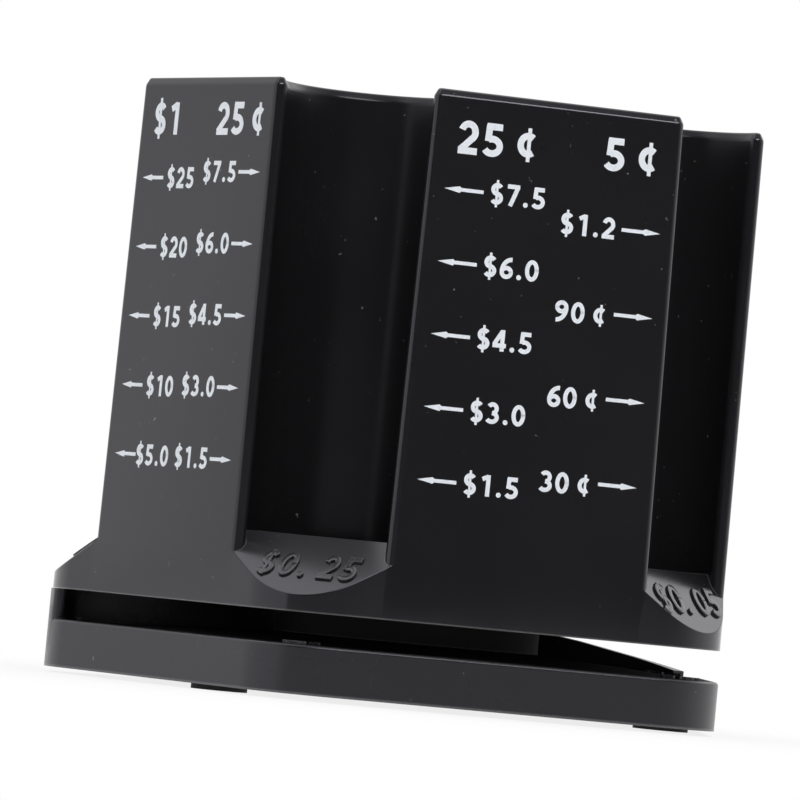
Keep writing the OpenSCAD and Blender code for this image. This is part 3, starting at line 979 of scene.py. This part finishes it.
# %% Dark screen behind the camera
screen_radius = 1.3
screen_foot, screen_top = -0.01, 2.4
screen_left, screen_right, panel_turn = -154, 0, 7
right_fade = 5
glow_from, glow_to, glow_most = 1.3, 1.9, 0.4
screen_dark, screen_nodes, screen_links, screen_skin = finish("dark screen", (0.015, 0.015, 0.015), 0.95)
screen_place = screen_nodes.new("ShaderNodeTexCoord")
screen_axes = screen_nodes.new("ShaderNodeSeparateXYZ")
screen_links.new(screen_place.outputs["Object"], screen_axes.inputs["Vector"])
screen_fade = screen_nodes.new("ShaderNodeMath")
screen_fade.operation = "POWER"
screen_fade.inputs[1].default_value = right_fade
right_glow = spread(screen_nodes, screen_links, screen_axes.outputs["X"], 0, screen_radius, 0, 1)
screen_links.new(right_glow, screen_fade.inputs[0])
screen_glow = screen_nodes.new("ShaderNodeMath")
screen_glow.operation = "MAXIMUM"
screen_links.new(screen_fade.outputs["Value"], screen_glow.inputs[0])
top_glow = spread(screen_nodes, screen_links, screen_axes.outputs["Z"], glow_from, glow_to, 0, glow_most)
screen_links.new(top_glow, screen_glow.inputs[1])
screen_skin.inputs["Emission Color"].default_value = (1, 1, 1, 1)
screen_links.new(screen_glow.outputs["Value"], screen_skin.inputs["Emission Strength"])
screen_turns = [math.radians(d) for d in range(screen_left, screen_right + 1, panel_turn)]
screen_points = []
for t in screen_turns:
    x, y = screen_radius * math.cos(t), screen_radius * math.sin(t)
    screen_points += [(x, y, screen_foot), (x, y, screen_top)]
screen_faces = [(2 * n, 2 * n + 1, 2 * n + 3, 2 * n + 2) for n in range(len(screen_turns) - 1)]
screen = stage_piece("dark_screen", screen_points, screen_faces, screen_dark)
screen.visible_camera = False
print("screen of", len(screen_faces), "panels")

# %% Lamps and world
def softbox(name, place, aim, wide, tall, power):
    lamp = bpy.data.lights.new(name, "AREA")
    lamp.shape = "RECTANGLE"
    lamp.size, lamp.size_y = wide, tall
    lamp.energy = power
    holder = bpy.data.objects.new(name, lamp)
    holder.location = place
    holder.rotation_euler = (Vector(aim) - Vector(place)).to_track_quat("-Z", "Y").to_euler()
    bpy.context.scene.collection.objects.link(holder)
    return holder


softbox("overhead softbox", (0.0, 0.75, 1.9), (0, 0.75, 0), 3.0, 2.5, 25)
softbox("right softbox", (1.75, 0.9, 1.4), (0, 0, 0.05), 1.0, 1.0, 3.2)
softbox("front strip", (0.1, -1.15, 1.15), (0, 0, 0.05), 1.6, 0.4, 16.5)
softbox("left softbox", (-1.7, 0.3, 0.7), (0, 0, 0.05), 1.2, 1.2, 4.8).visible_glossy = False
softbox("low front strip", (-0.35, -1.1, 0.02), (0, 0, 0.02), 1.2, 0.06, 1.5).visible_glossy = False
room_fill = 0.35
world = bpy.data.worlds.new("white room")
world.use_nodes = True
room_nodes, room_links = world.node_tree.nodes, world.node_tree.links
room = room_nodes["Background"]
room.inputs["Color"].default_value = (1, 1, 1, 1)
room_light = spread(room_nodes, room_links, seen_white(room_nodes, room_links), 0, 1, room_fill, 1.0)
room_links.new(room_light, room.inputs["Strength"])
bpy.context.scene.world = world
bpy.context.scene.view_settings.view_transform = "Standard"

# %% [markdown]
# ## Camera
# The camera stands about a metre away with a long lens, low and a little tilted. Its bearing, height,
# pitch and tilt were fitted to the photograph, so the edges of the render can be laid over those of the
# picture.

# %% Camera
bearing, pitch, tilt = math.radians(18.07), math.radians(1.687), math.radians(-5.45)
ahead = Vector((math.sin(bearing), math.cos(bearing), 0))
right = Vector((math.cos(bearing), -math.sin(bearing), 0))
up = Vector((0, 0, 1))
eye_back, eye_left, eye_height = 1007.94 * mm, 4.278 * mm, 15.555 * mm
eye = -eye_back * ahead - eye_left * right + eye_height * up
look = math.cos(pitch) * ahead + math.sin(pitch) * up
head_up = -math.sin(pitch) * ahead + math.cos(pitch) * up
side_x = math.cos(tilt) * right - math.sin(tilt) * head_up
side_y = math.sin(tilt) * right + math.cos(tilt) * head_up
lens = bpy.data.cameras.new("studio camera")
lens.sensor_width = 36
lens.lens = 303.75
lens.clip_start = 0.01
camera = bpy.data.objects.new("studio camera", lens)
camera.matrix_world = Matrix((
    (side_x.x, side_y.x, -look.x, eye.x),
    (side_x.y, side_y.y, -look.y, eye.y),
    (side_x.z, side_y.z, -look.z, eye.z),
    (0, 0, 0, 1),
))
bpy.context.scene.collection.objects.link(camera)
bpy.context.scene.camera = camera
print("camera at", [in_mm(c, 1) for c in eye], "mm")
